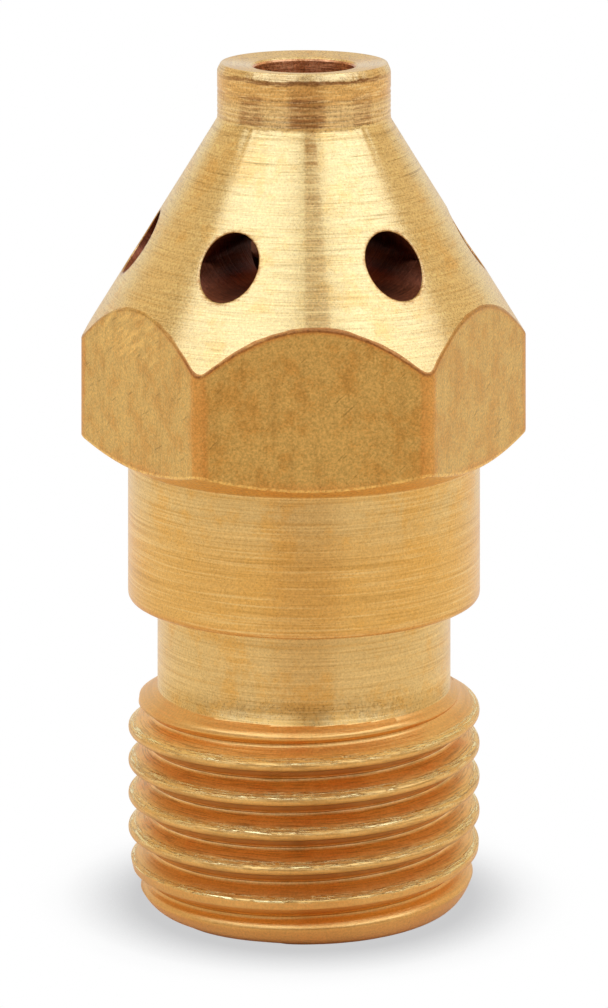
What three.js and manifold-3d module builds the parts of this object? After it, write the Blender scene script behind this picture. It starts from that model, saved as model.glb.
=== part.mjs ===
// Oil burner nozzle: a one-piece brass body with a hexagon, a coned head with six air ports and an
// outlet throat, holding a strainer, a spring-loaded anti-drip valve, a lock screw, a swirl
// distributor and an orifice disc. Millimetres, +Z up, origin at the centre of the inlet end face.
// Oil enters at the bottom, passes the strainer, lifts the poppet, goes through the lock screw and
// the slots of the distributor, and leaves the orifice disc as a spray into the mixing chamber,
// where air from the six ports joins it on the way out of the throat.
import * as THREE from "three";
import { mergeVertices } from "three/addons/utils/BufferGeometryUtils.js";
import Module from "manifold-3d";

const wasm = await Module();
wasm.setup();

// ---------------------------------------------------------------- driving dimensions

const INCH = 25.4;
const HEX_ACROSS_FLATS = (5 / 8) * INCH;
const HEX_CORNER_RADIUS = 0.7; // the rounded corner of drawn hexagon bar
const STEM_THREAD = { major: (9 / 32) * INCH, pitch: 1.356, crestZ: 0.885 };

const HEIGHT = 33.92;
const THROAT_R = 2.05;
const THROAT_BEVEL = 0.12;
const HUB = { r: 3.54, footZ: 31.64, rimR: 3.4, bevelDrop: 0.33 };
const END_DISH = 0.12; // how far the end face sinks from the hub's rim to the throat
const CONE_TAN = Math.tan(THREE.MathUtils.degToRad(32)); // radius gained for each mm down the cone
const HEX_UNDERSIDE_SLOPE = 0.5; // rise for each mm outwards, from the collar's top edge
const COLLAR = { r: 7.16, bottomZ: 12.3, topZ: 17.87, edge: 0.25 };
const NECK = { r: 5.96, bottomZ: 8.61 };
const STEM_END = { faceR: 5.9, roundZ: 2.9 }; // the rounded lead-in of the stem thread
const STEM_TOP_SLOPE = 0.65; // the thread's upper end falls away from the neck
const PORT = { count: 6, r: 1.25, z: 26.66, turn: 0.3 }; // turn: degrees round from the hexagon's corners

// The stepped hole inside the body, from the inlet up.
const INLET = { r: 4.95, depth: 1.25 };
const RING_GROOVE = { r: 5.1, bottomZ: 0.1, topZ: 0.5 };
const STRAINER_BORE_R = 4.85;
const SEAT_THREAD = { major: 4.75, pitch: 1, bottomZ: 7.1, topZ: 9.3 };
const SEAL_BORE = { r: 4.1, topZ: 9.9 };
const VALVE_BORE = { r: 3.8, topZ: 12.9 };
const LOCK_THREAD = { major: 3.7, pitch: 1, bottomZ: 12.9, topZ: 15.5 };
const DISC_BORE = { r: 3.15, topZ: 22.4 };
const CHAMBER = { r: 2.55, topZ: 28.2 };
const THROAT_START_Z = CHAMBER.topZ + (CHAMBER.r - THROAT_R);

const FIT = 0.04; // radial gap of a piece that is pressed or screwed home
const THREAD_FIT = 0.07; // radial gap between a screw and its nut thread
const SLIDE_FIT = 0.06; // radial gap of the sliding poppet
const SLEEVE_FIT = 0.03; // gap between the nested pieces of the strainer

const BODY_FACETS = 48; // facets round the body
const STEM_FACETS = 36; // facets round the stem thread
const INNER_FACETS = 28; // facets round the internal pieces and their threads

// ---------------------------------------------------------------- materials

const brass = new THREE.MeshStandardMaterial({ color: 0xcf9a45, roughness: 0.35, metalness: 1 });
const insertBrass = new THREE.MeshStandardMaterial({ color: 0xc8a050, roughness: 0.3, metalness: 1 });
const steel = new THREE.MeshStandardMaterial({ color: 0xb9bbbd, roughness: 0.28, metalness: 1 });
const springSteel = new THREE.MeshStandardMaterial({ color: 0xa4a6aa, roughness: 0.35, metalness: 1 });
const screenWire = new THREE.MeshStandardMaterial({ color: 0xb08a4a, roughness: 0.5, metalness: 1 });
const rubber = new THREE.MeshStandardMaterial({ color: 0x1c1c1e, roughness: 0.7, metalness: 0 });

// ---------------------------------------------------------------- solids from three.js shapes

// A closed three.js geometry as a manifold-3d solid.
function solidFrom(geometry) {
  const bare = geometry.index ? geometry.toNonIndexed() : geometry.clone();
  bare.deleteAttribute("normal");
  bare.deleteAttribute("uv");
  const merged = mergeVertices(bare, 1e-4);
  const corners = [];
  const index = merged.index.array;
  for (let i = 0; i < index.length; i += 3) {
    const [a, b, c] = [index[i], index[i + 1], index[i + 2]];
    if (a !== b && b !== c && a !== c) corners.push(a, b, c);
  }
  const vertProperties = merged.attributes.position.array;
  return new wasm.Manifold(
    new wasm.Mesh({ numProp: 3, vertProperties, triVerts: new Uint32Array(corners) }),
  );
}

// A manifold-3d solid as a three.js geometry.
function geometryFrom(solid) {
  const found = solid.getMesh();
  const points = new Float32Array(found.numVert * 3);
  for (let i = 0; i < found.numVert; i++) {
    points.set(found.vertProperties.subarray(i * found.numProp, i * found.numProp + 3), i * 3);
  }
  const geometry = new THREE.BufferGeometry();
  geometry.setAttribute("position", new THREE.BufferAttribute(points, 3));
  geometry.setIndex(new THREE.BufferAttribute(found.triVerts, 1));
  geometry.computeVertexNormals();
  return geometry;
}

// Turns an outline of [radius, z] points about Z. A ring's outline keeps off the axis and is closed here.
function turned(outline, facets = INNER_FACETS) {
  const points = outline.map(([r, z]) => new THREE.Vector2(r, z));
  const touchesAxis = points.some((p) => p.x === 0);
  if (THREE.ShapeUtils.area(points) < 0) points.reverse();
  while (touchesAxis && !(points[0].x === 0 && points.at(-1).x === 0)) points.push(points.shift());
  if (!touchesAxis) points.push(points[0].clone());
  return solidFrom(new THREE.LatheGeometry(points, facets).rotateX(Math.PI / 2));
}

// Points along an arc in the [radius, z] plane, angles in degrees.
function arc(centreR, centreZ, radiusR, radiusZ, from, to, steps) {
  return Array.from({ length: steps + 1 }, (_, i) => {
    const a = THREE.MathUtils.degToRad(from + ((to - from) * i) / steps);
    return [centreR + radiusR * Math.cos(a), centreZ + radiusZ * Math.sin(a)];
  });
}

// A prism of constant outline, standing on z = bottom.
function prism(shape, bottom, height, curveSegments = 2) {
  const settings = { depth: height, bevelEnabled: false, curveSegments };
  return solidFrom(new THREE.ExtrudeGeometry(shape, settings).translate(0, 0, bottom));
}

// A straight-sided bar with its centre at the origin.
function bar(x, y, z) {
  return solidFrom(new THREE.BoxGeometry(x, y, z));
}

// A rod of radius r from the axis outwards along +X.
function radialRod(r, length, facets) {
  const rod = new THREE.CylinderGeometry(r, r, length, facets);
  return solidFrom(rod.rotateZ(Math.PI / 2).translate(length / 2, 0, 0));
}

// A round wire of the given radius along a path round Z. place gives the turn and height at each share
// of the path's length.
function wireAlong(pathR, wireR, steps, place) {
  const path = new THREE.Curve();
  path.getPoint = (share, target = new THREE.Vector3()) => {
    const [a, z] = place(share);
    return target.set(pathR * Math.cos(a), pathR * Math.sin(a), z);
  };
  const section = new THREE.Shape().absarc(0, 0, wireR, 0, 2 * Math.PI);
  const settings = { extrudePath: path, steps, curveSegments: 3, bevelEnabled: false };
  return solidFrom(new THREE.ExtrudeGeometry(section, settings));
}

const union = (solids) => solids.reduce((a, b) => a.add(b));

// Copies of a solid, evenly round Z, the first one turned by start degrees.
function ringOf(solid, count, start) {
  return union(
    Array.from({ length: count }, (_, i) => solid.rotate([0, 0, start + (360 / count) * i])),
  );
}

// A right-hand 60 degree thread on a solid rod, at least from bottomZ to topZ, whose crest crosses
// the +X side at crestZ. It is one helicoid sheet, closed by fans at both ends.
function threadedRod({ major, pitch }, bottomZ, topZ, crestZ, clearance, facets) {
  const depth = 0.613 * pitch;
  const flank = depth * Math.tan(Math.PI / 6);
  const halfCrest = pitch / 16;
  const profile = [
    [-halfCrest, major],
    [halfCrest, major],
    [halfCrest + flank, major - depth],
    [pitch - halfCrest - flank, major - depth],
  ];
  const firstTurn = Math.floor((bottomZ - crestZ) / pitch) - 2;
  const turns = Math.ceil((topZ - bottomZ) / pitch) + 4;
  const rows = [];
  for (let turn = 0; turn <= turns; turn++) {
    for (const [dz, r] of profile) rows.push([crestZ + (firstTurn + turn) * pitch + dz, r + clearance]);
  }
  const columns = Array.from({ length: facets + 1 }, (_, i) => {
    const share = i / facets;
    const a = (2 * Math.PI * (i % facets)) / facets;
    return rows.map(([z, r]) => [r * Math.cos(a), r * Math.sin(a), z + pitch * share]);
  });
  const perPitch = profile.length;
  const last = rows.length - 1;
  const foot = [0, 0, rows[0][0]];
  const head = [0, 0, rows[last][0] + pitch];
  const faces = [];
  for (let i = 0; i < facets; i++) {
    const [here, next] = [columns[i], columns[i + 1]];
    for (let j = 0; j < last; j++) {
      faces.push([here[j], next[j], next[j + 1]], [here[j], next[j + 1], here[j + 1]]);
    }
    faces.push([foot, next[0], here[0]], [head, here[last], next[last]]);
  }
  const [first, end] = [columns[0], columns[facets]];
  for (let j = 0; j < perPitch; j++) {
    faces.push([foot, first[j], first[j + 1]]);
    faces.push([head, end[last - j], end[last - j - 1]]);
  }
  const geometry = new THREE.BufferGeometry();
  geometry.setAttribute("position", new THREE.Float32BufferAttribute(faces.flat(2), 3));
  return solidFrom(geometry);
}

// The same thread, cut to a band of height, for use as a screw or as a tap.
function threadBand(thread, crestZ, clearance = 0) {
  const { major, bottomZ, topZ } = thread;
  const outer = major + clearance + 1;
  const band = turned([[0, bottomZ], [outer, bottomZ], [outer, topZ], [0, topZ]]);
  return threadedRod(thread, bottomZ, topZ, crestZ, clearance, INNER_FACETS).intersect(band);
}

// ---------------------------------------------------------------- nozzle body

function hexagonShape() {
  const inner = HEX_ACROSS_FLATS / 2 - HEX_CORNER_RADIUS;
  const toCorner = inner / Math.cos(Math.PI / 6);
  const shape = new THREE.Shape();
  for (let i = 0; i < 6; i++) {
    const a = (i * Math.PI) / 3;
    const [x, y] = [toCorner * Math.cos(a), toCorner * Math.sin(a)];
    shape.absarc(x, y, HEX_CORNER_RADIUS, a - Math.PI / 6, a + Math.PI / 6, false);
  }
  shape.closePath();
  return shape;
}

// Hub, cone, hexagon, collar and neck as they come off the lathe, before the hexagon is left standing.
function bodyOutline() {
  const widest = HEX_ACROSS_FLATS / 2 / Math.cos(Math.PI / 6) + 0.5;
  const coneFootZ = HUB.footZ - (widest - HUB.r) / CONE_TAN;
  const undersideZ = COLLAR.topZ + (widest - COLLAR.r) * HEX_UNDERSIDE_SLOPE;
  return [
    [0, HEIGHT - END_DISH],
    [THROAT_R + THROAT_BEVEL, HEIGHT - END_DISH],
    [HUB.rimR, HEIGHT],
    [HUB.r, HEIGHT - HUB.bevelDrop],
    [HUB.r, HUB.footZ],
    [widest, coneFootZ],
    [widest, undersideZ],
    [COLLAR.r, COLLAR.topZ],
    ...arc(COLLAR.r - COLLAR.edge, COLLAR.bottomZ + COLLAR.edge, COLLAR.edge, COLLAR.edge, 0, -90, 3),
    [NECK.r, COLLAR.bottomZ],
    [NECK.r, INLET.depth + 1],
    [0, INLET.depth + 1],
  ];
}

// The envelope that the stem thread is cut to: a rounded lead-in below, a sloping end above.
function stemOutline() {
  const top = NECK.bottomZ - (STEM_THREAD.major - NECK.r) * STEM_TOP_SLOPE;
  const roundR = STEM_THREAD.major - STEM_END.faceR;
  return [
    [0, 0],
    ...arc(STEM_END.faceR, STEM_END.roundZ, roundR, STEM_END.roundZ, -90, 0, 5),
    [STEM_THREAD.major, top],
    [NECK.r, NECK.bottomZ],
    [0, NECK.bottomZ],
  ];
}

// The stepped hole through the body, with the two internal threads.
function bodyHole() {
  const past = 1; // the cutter stands out at both ends
  const steps = turned(
    [
      [0, -past],
      [INLET.r, -past],
      [INLET.r, RING_GROOVE.bottomZ],
      [RING_GROOVE.r, RING_GROOVE.bottomZ],
      [RING_GROOVE.r, RING_GROOVE.topZ],
      [INLET.r, RING_GROOVE.topZ],
      [INLET.r, INLET.depth],
      [STRAINER_BORE_R, INLET.depth],
      [STRAINER_BORE_R, SEAT_THREAD.bottomZ],
      [SEAL_BORE.r, SEAT_THREAD.bottomZ],
      [SEAL_BORE.r, SEAL_BORE.topZ],
      [VALVE_BORE.r, SEAL_BORE.topZ],
      [VALVE_BORE.r, VALVE_BORE.topZ],
      [DISC_BORE.r, VALVE_BORE.topZ],
      [DISC_BORE.r, DISC_BORE.topZ],
      [CHAMBER.r, DISC_BORE.topZ],
      [CHAMBER.r, CHAMBER.topZ],
      [THROAT_R, THROAT_START_Z],
      [THROAT_R, HEIGHT - END_DISH - THROAT_BEVEL],
      [THROAT_R + THROAT_BEVEL, HEIGHT - END_DISH],
      [THROAT_R + THROAT_BEVEL, HEIGHT + past],
      [0, HEIGHT + past],
    ],
    INNER_FACETS,
  );
  const seatTap = threadBand(SEAT_THREAD, SEAT_THREAD.bottomZ, THREAD_FIT);
  const lockTap = threadBand(LOCK_THREAD, LOCK_THREAD.bottomZ, THREAD_FIT);
  return union([steps, seatTap, lockTap]);
}

function nozzleBody() {
  const hexagon = prism(hexagonShape(), -1, HEIGHT + 2);
  const head = turned(bodyOutline(), BODY_FACETS).intersect(hexagon);
  const rod = threadedRod(STEM_THREAD, 0, NECK.bottomZ, STEM_THREAD.crestZ, 0, STEM_FACETS);
  const stem = rod.intersect(turned(stemOutline(), STEM_FACETS));
  const port = radialRod(PORT.r, HEX_ACROSS_FLATS, INNER_FACETS).translate([0, 0, PORT.z]);
  const ports = ringOf(port, PORT.count, PORT.turn);
  return head.add(stem).subtract(bodyHole()).subtract(ports);
}

// ---------------------------------------------------------------- spray parts

const DISC = {
  r: DISC_BORE.r - FIT,
  topZ: DISC_BORE.topZ - FIT,
  thickness: 1.5,
  orificeR: 0.2,
  orificeLength: 0.25,
  flare: 0.45,
};
const DISTRIBUTOR = {
  r: 2.4,
  bottomZ: 17.2,
  shoulderZ: DISC.topZ - DISC.thickness - 0.06,
  noseR: 1.55,
  noseTipR: 0.55,
  noseHeight: 0.58,
  chamfer: 0.3,
};
const SWIRL_SLOT = { count: 4, width: 0.4, depth: 1.1, offset: DISTRIBUTOR.noseR * 0.55 };

// The orifice disc: a swirl cone underneath, the orifice, and a small exit flare on top.
function orificeDisc() {
  const { r, topZ, thickness, orificeR, orificeLength, flare } = DISC;
  return turned([
    [orificeR, topZ - flare],
    [orificeR + flare, topZ],
    [r, topZ],
    [r, topZ - thickness],
    [DISTRIBUTOR.noseR + 0.1, topZ - thickness],
    [orificeR, topZ - flare - orificeLength],
  ]);
}

// The distributor: a plug whose nose sits in the disc's cone, with tangential slots cut across it.
function swirlDistributor() {
  const { r, bottomZ, shoulderZ, noseR, noseTipR, noseHeight, chamfer } = DISTRIBUTOR;
  const plug = turned([
    [0, shoulderZ + noseHeight],
    [noseTipR, shoulderZ + noseHeight],
    [noseR, shoulderZ],
    [r, shoulderZ],
    [r, bottomZ + chamfer],
    [r - chamfer, bottomZ],
    [0, bottomZ],
  ]);
  const slot = bar(r, SWIRL_SLOT.width, SWIRL_SLOT.depth);
  const placed = slot.translate([r / 2 + 0.6, SWIRL_SLOT.offset, shoulderZ + 0.1]);
  return plug.subtract(ringOf(placed, SWIRL_SLOT.count, 0));
}

// ---------------------------------------------------------------- lock screw

const LOCK = { headZ: LOCK_THREAD.bottomZ + 0.1, threadTopZ: 15.2, topZ: DISTRIBUTOR.bottomZ - 0.05 };
const SPRING_POCKET = { r: 2.15, topZ: LOCK.headZ + 0.9 };

// The lock screw: thread, driver slot, spring pocket, and an oil way to the groove above the thread.
function lockScrew() {
  const minor = LOCK_THREAD.major - 0.613 * LOCK_THREAD.pitch;
  const oilWayR = 1.1;
  const waistR = 2.3;
  const thread = { ...LOCK_THREAD, bottomZ: LOCK.headZ, topZ: LOCK.threadTopZ };
  const core = turned([
    [0, LOCK.headZ],
    [minor - 0.4, LOCK.headZ],
    [minor, LOCK.headZ + 0.4],
    [minor, LOCK.threadTopZ - 0.2],
    [waistR, LOCK.threadTopZ + 0.2],
    [waistR, LOCK.topZ],
    [0, LOCK.topZ],
  ]);
  const leadIn = turned([
    [0, LOCK.headZ],
    [minor - 0.2, LOCK.headZ],
    [LOCK_THREAD.major, LOCK.headZ + 0.5],
    [LOCK_THREAD.major, LOCK.threadTopZ - 0.3],
    [minor - 0.2, LOCK.threadTopZ],
    [0, LOCK.threadTopZ],
  ]);
  const oilWay = turned([
    [0, LOCK.headZ - 1],
    [SPRING_POCKET.r, LOCK.headZ - 1],
    [SPRING_POCKET.r, SPRING_POCKET.topZ],
    [oilWayR, SPRING_POCKET.topZ],
    [oilWayR, LOCK.topZ - 0.6],
    [0, LOCK.topZ - 0.25],
  ]);
  const crossHole = radialRod(0.45, 4, 16).translate([0, 0, (LOCK.threadTopZ + LOCK.topZ) / 2 + 0.1]);
  const slot = bar(12, 1.0, 1.1).translate([0, 0, LOCK.headZ]);
  const screw = core.add(threadBand(thread, LOCK_THREAD.bottomZ).intersect(leadIn));
  return screw.subtract(oilWay).subtract(ringOf(crossHole, 4, 45)).subtract(slot);
}

// ---------------------------------------------------------------- anti-drip valve

const SEAT = {
  bottomZ: SEAT_THREAD.bottomZ + 0.1,
  topZ: SEAT_THREAD.topZ - 0.05,
  holeR: 1.35,
  mouthR: 2.35,
};
const SEAT_RING = { r: 3.75, wire: 0.29, z: SEAT.topZ + 0.32 };
const POPPET_RING = { r: 1.95, wire: 0.3 };

// The screwed valve seat: a cone for the poppet's ring, a groove on top for its own seal.
function valveSeat() {
  const minor = SEAT_THREAD.major - 0.613 * SEAT_THREAD.pitch;
  const coneFootZ = SEAT.topZ - (SEAT.mouthR - SEAT.holeR);
  const thread = { ...SEAT_THREAD, bottomZ: SEAT.bottomZ, topZ: SEAT.topZ };
  const core = turned([
    [SEAT.holeR, SEAT.bottomZ],
    [minor, SEAT.bottomZ],
    [minor, SEAT.topZ],
    [SEAT.mouthR, SEAT.topZ],
    [SEAT.holeR, coneFootZ],
  ]);
  const leadIn = turned([
    [3, SEAT.bottomZ],
    [minor, SEAT.bottomZ],
    [SEAT_THREAD.major, SEAT.bottomZ + 0.4],
    [SEAT_THREAD.major, SEAT.topZ - 0.4],
    [minor, SEAT.topZ],
    [3, SEAT.topZ],
  ]);
  const driverSlot = bar(12, 0.9, 0.9).translate([0, 0, SEAT.bottomZ]);
  const screw = core.add(threadBand(thread, SEAT_THREAD.bottomZ).intersect(leadIn));
  return screw.subtract(driverSlot);
}

// A round ring of wire, as for an O-ring.
function torus(r, wire, z, steps = 8) {
  return solidFrom(new THREE.TorusGeometry(r, wire, steps, INNER_FACETS).translate(0, 0, z));
}

// The height at which the poppet's ring just clears the seat's 45 degree cone.
const POPPET_RING_Z =
  SEAT.topZ - (SEAT.mouthR - POPPET_RING.r) + POPPET_RING.wire * Math.SQRT2 + 0.02;
const POPPET = {
  noseR: 0.7,
  shoulderR: 2.2,
  flangeZ: SEAL_BORE.topZ + 0.05,
  flange: 0.8,
  stemR: 0.95,
  stemTopZ: LOCK.headZ - 0.35,
  chamfer: 0.2,
};

// The poppet: a nose into the seat, a three-cornered flange that slides in the bore, and a stem.
function checkPoppet() {
  const { noseR, shoulderR, flangeZ, flange, stemR, stemTopZ, chamfer } = POPPET;
  const grooveR = POPPET_RING.r - POPPET_RING.wire - 0.02;
  const grooveTop = POPPET_RING_Z + POPPET_RING.wire + 0.02;
  const noseZ = POPPET_RING_Z - 1.0;
  const spindle = turned([
    [0, noseZ],
    [noseR, noseZ],
    [grooveR - 0.35, POPPET_RING_Z - 0.32],
    [grooveR, POPPET_RING_Z - 0.1],
    [grooveR, grooveTop],
    [shoulderR, grooveTop],
    [shoulderR, flangeZ + flange],
    [stemR, flangeZ + flange],
    [stemR, stemTopZ - chamfer],
    [stemR - chamfer, stemTopZ],
    [0, stemTopZ],
  ]);
  const guideR = VALVE_BORE.r - SLIDE_FIT;
  const guide = turned([[0, flangeZ], [guideR, flangeZ], [guideR, flangeZ + flange], [0, flangeZ + flange]]);
  const flats = new THREE.Shape();
  const toCorner = 5.6; // beyond the bore, so that three arcs of the flange still guide it
  for (let i = 0; i < 3; i++) {
    const a = (i * 2 * Math.PI) / 3;
    flats[i ? "lineTo" : "moveTo"](toCorner * Math.cos(a), toCorner * Math.sin(a));
  }
  flats.closePath();
  return spindle.add(guide.intersect(prism(flats, flangeZ - 1, 3)));
}

const SPRING = {
  r: 1.62,
  wire: 0.2,
  bottomZ: POPPET.flangeZ + POPPET.flange + 0.05,
  topZ: SPRING_POCKET.topZ - 0.05,
  turns: 5,
  endTurns: 0.75, // at each end, these lie almost flat
  endPitch: 0.43,
};

// The height of the wire after so many turns. The turns between the flat ends share what is left.
function springHeight(turn) {
  const { wire, turns, endTurns, endPitch } = SPRING;
  const bottom = SPRING.bottomZ + wire;
  const top = SPRING.topZ - wire;
  if (turn < endTurns) return bottom + endPitch * turn;
  if (turn > turns - endTurns) return top - endPitch * (turns - turn);
  const share = (turn - endTurns) / (turns - 2 * endTurns);
  return THREE.MathUtils.lerp(bottom + endPitch * endTurns, top - endPitch * endTurns, share);
}

// A closed-end compression spring between the poppet's flange and the lock screw's pocket.
function valveSpring() {
  const { r, wire, turns } = SPRING;
  const stepsPerTurn = 16;
  return wireAlong(r, wire, turns * stepsPerTurn, (share) => [
    2 * Math.PI * turns * share,
    springHeight(turns * share),
  ]);
}

// ---------------------------------------------------------------- strainer

const STRAINER = { innerR: 2.95, wall: 0.3, bottomZ: 1.55, topZ: 6.1 };
const STRAINER_BASE = { flangeZ: 0.5, wayInR: 2.1, spigotHeight: 0.9, shoulder: 0.25 };
const STRAINER_CAP = { topZ: 6.6, rim: 0.3, plug: 0.5 };
const SCREEN_WINDOW = { size: 0.7, perRow: 14, rows: 3, firstZ: 2.85, rise: 1.05 };

// The strainer's foot: a flange in the inlet recess and a spigot inside the screen.
function strainerBase() {
  const { flangeZ, wayInR, spigotHeight, shoulder } = STRAINER_BASE;
  const flangeR = INLET.r - FIT;
  const flangeTop = INLET.depth - SLEEVE_FIT;
  const shoulderR = STRAINER.innerR + STRAINER.wall + shoulder;
  const shoulderTop = STRAINER.bottomZ - SLEEVE_FIT;
  const spigotR = STRAINER.innerR - SLEEVE_FIT;
  const spigotTop = STRAINER.bottomZ + spigotHeight;
  return turned([
    [wayInR + 0.4, flangeZ],
    [flangeR, flangeZ],
    [flangeR, flangeTop],
    [shoulderR, flangeTop],
    [shoulderR, shoulderTop],
    [spigotR, shoulderTop],
    [spigotR, spigotTop],
    [wayInR, spigotTop],
    [wayInR, flangeZ + 0.4],
  ]);
}

// The woven wire screen as a thin sleeve with rows of windows.
function strainerScreen() {
  const { innerR, wall, bottomZ, topZ } = STRAINER;
  const { size, perRow, rows, firstZ, rise } = SCREEN_WINDOW;
  const sleeve = turned([
    [innerR, bottomZ],
    [innerR + wall, bottomZ],
    [innerR + wall, topZ],
    [innerR, topZ],
  ]);
  const window = bar(2, size, size).translate([innerR + wall / 2, 0, 0]);
  const stagger = 360 / perRow / 2;
  let screen = sleeve;
  for (let i = 0; i < rows; i++) {
    const row = ringOf(window, perRow, (i % 2) * stagger);
    screen = screen.subtract(row.translate([0, 0, firstZ + i * rise]));
  }
  return screen;
}

// The strainer's closed top, with a rim outside the screen and a plug inside it.
function strainerCap() {
  const { innerR, wall } = STRAINER;
  const { topZ, rim, plug } = STRAINER_CAP;
  const lipZ = STRAINER.topZ - plug;
  const underZ = STRAINER.topZ + SLEEVE_FIT;
  const rimR = innerR + wall + SLEEVE_FIT;
  const plugR = innerR - SLEEVE_FIT;
  return turned([
    [0, topZ],
    [rimR, topZ],
    [rimR + rim, topZ - rim],
    [rimR + rim, lipZ],
    [rimR, lipZ],
    [rimR, underZ],
    [plugR, underZ],
    [plugR, lipZ],
    [0, lipZ],
  ]);
}

// A split spring ring that snaps into the inlet under the strainer's flange.
function retainingRing() {
  const wireR = 0.18;
  const opening = 0.5; // radians
  const z = RING_GROOVE.topZ - wireR - 0.02;
  return wireAlong(RING_GROOVE.r - wireR - 0.02, wireR, 36, (share) => [
    opening / 2 + share * (2 * Math.PI - opening),
    z,
  ]);
}

// ---------------------------------------------------------------- assembly

const pieces = [
  ["nozzle_body", nozzleBody(), brass],
  ["orifice_disc", orificeDisc(), steel],
  ["swirl_distributor", swirlDistributor(), steel],
  ["lock_screw", lockScrew(), insertBrass],
  ["valve_spring", valveSpring(), springSteel],
  ["check_poppet", checkPoppet(), steel],
  ["poppet_o_ring", torus(POPPET_RING.r, POPPET_RING.wire, POPPET_RING_Z), rubber],
  ["valve_seat_o_ring", torus(SEAT_RING.r, SEAT_RING.wire, SEAT_RING.z), rubber],
  ["valve_seat", valveSeat(), insertBrass],
  ["strainer_cap", strainerCap(), insertBrass],
  ["strainer_screen", strainerScreen(), screenWire],
  ["strainer_base", strainerBase(), insertBrass],
  ["retaining_ring", retainingRing(), springSteel],
];

const nozzle = new THREE.Group();
for (const [name, solid, material] of pieces) {
  const piece = new THREE.Mesh(geometryFrom(solid), material);
  piece.name = name;
  nozzle.add(piece);
}

export default nozzle;
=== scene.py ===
"""Looks of the brass oil burner nozzle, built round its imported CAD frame.

The body is made afresh as one fine closed mesh: rows of points run down the outline in columns round
the axis, with a ring of spokes round each air port and a helical grid on the stem thread.
Lengths are in millimetres until a mesh is handed to Blender, which works in metres here.
"""

import math

import bmesh
import bpy
import numpy as np
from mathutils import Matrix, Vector, noise


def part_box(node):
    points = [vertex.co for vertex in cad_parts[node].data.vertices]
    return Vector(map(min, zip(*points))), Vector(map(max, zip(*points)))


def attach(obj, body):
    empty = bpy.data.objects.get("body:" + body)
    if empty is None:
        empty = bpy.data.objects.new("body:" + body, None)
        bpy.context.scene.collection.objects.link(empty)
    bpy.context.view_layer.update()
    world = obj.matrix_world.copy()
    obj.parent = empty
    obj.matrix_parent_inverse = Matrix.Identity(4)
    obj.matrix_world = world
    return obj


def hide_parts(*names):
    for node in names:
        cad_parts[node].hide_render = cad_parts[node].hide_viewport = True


MM = 0.001

# ---------------------------------------------------------------- outline of the body

HEX_CORNER_R = 0.7
THROAT_R = 2.05
THROAT_BEVEL = 0.12  # at the throat's mouth, split in the middle between two finishes
DISH_DEPTH = 0.12  # how far the end face sinks from the hub's rim to the throat
RIM_R = 3.4  # where the dished end face meets the bevel down to the hub
RIM_DROP = 0.33  # depth of that bevel
HUB_R = 3.54
HUB_FOOT_Z = 31.64
TOOL_RINGS = 6  # round the lower hub
TOOL_RINGS_FOOT = HUB_FOOT_Z + 0.12
TOOL_RING_PITCH = 0.2
TOOL_RING_DEPTH = 0.018
TOOL_RING_STEPS = 8
CONE_TAN = math.tan(math.radians(32))  # radius gained for each mm down the cone
BURR_ABOVE = 0.05  # reach of the burr between cone and hexagon, upwards and downwards
BURR_BELOW = 0.03
BURR_APRON = 0.06  # the strip of cone over the burr that is finished like the hexagon
UNDERSIDE_SLOPE = 0.5  # height gained for each mm out from the collar, under the hexagon
UNDERSIDE_RING = 0.15  # the strip of underside round the collar that is finished like the collar
COLLAR_R = 7.16
COLLAR_TOP = 17.87
COLLAR_BOTTOM = 12.3
NECK_R = 5.96
NECK_BOTTOM = 8.61
STEM_FACE_R = 5.9
STEM_ROUND = 2.9  # height of the rounded lead-in
STEM_TOP_SLOPE = 0.65  # height lost for each mm out from the neck, over the thread
THREAD_R = 25.4 * 9 / 32
THREAD_PITCH = 1.356
THREAD_DEPTH = 0.613 * THREAD_PITCH
THREAD_CREST_Z = 0.885  # a crest at angle nought
THREAD_ROUND = 0.10  # width of the rounded crests and roots

# Radius and top of each step of the hole, from the inlet up to the mixing chamber.
BORE_STEPS = ((4.95, 1.25), (4.85, 9.3), (4.1, 9.9), (3.8, 15.5), (3.15, 22.4))
CHAMBER_R = 2.55
CHAMBER_TOP = 28.2
CHAMBER_SHOULDER = 0.3  # how far up the chamber's coned top the drilled finish runs
THROAT_START = CHAMBER_TOP + CHAMBER_R - THROAT_R

PORT_R = 1.25
PORT_Z = 26.66
PORT_TURN = math.radians(0.3)
PORT_CORNER = 0.07  # width of the rounded lip round a port's mouth
PORT_INNER_CORNER = 0.03  # and round its inner end

# Where the plain rows stop and the port patches start.
CONE_PATCH_TOP = 29.6
CHAMBER_PATCH_TOP = 28.08
CHAMBER_PATCH_BOTTOM = 24.9
CONE_PATCH_BOTTOM = 0.25  # above the hexagon's edge

HUB, CONE, BARREL, DRAWN, THREADED, DRILLED_IN_SHADE, THROAT = range(7)  # the body's finishes

COLUMNS_PER_SIDE = 36
PATCH_SIDE_STEPS = 14
CONE_PATCH_STEPS = 9
CHAMBER_PATCH_STEPS = 4
PORT_WALL_ROWS = 4
PATCH_CROWDING = 1.7  # the steps lie closer together towards the port
KEPT_ROW = 1.8  # where the row beside a rounded corner lies, in widths of the rounding
WELD_DISTANCE = 2e-7  # in metres


# ---------------------------------------------------------------- studio sizes and colours

CAMERA_TURN = math.radians(-2.75)
CAMERA_DISTANCE = 188.9
CAMERA_HEIGHT = 61.6
CAMERA_LENS = 165.7
CAMERA_SHIFT = -1.113

# The panels and the floor, in metres.
PANEL_DISTANCE = 0.5
PANEL_HEIGHT = 0.30
PANEL_ELEVATION = math.radians(47)
PANEL_RADIANCE = 1.64
PANEL_COOL = (0.54, 0.70, 1.12)
PANEL_AIM = (0, 0, 0.02)
FLOOR_HALF = 1.5

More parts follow.
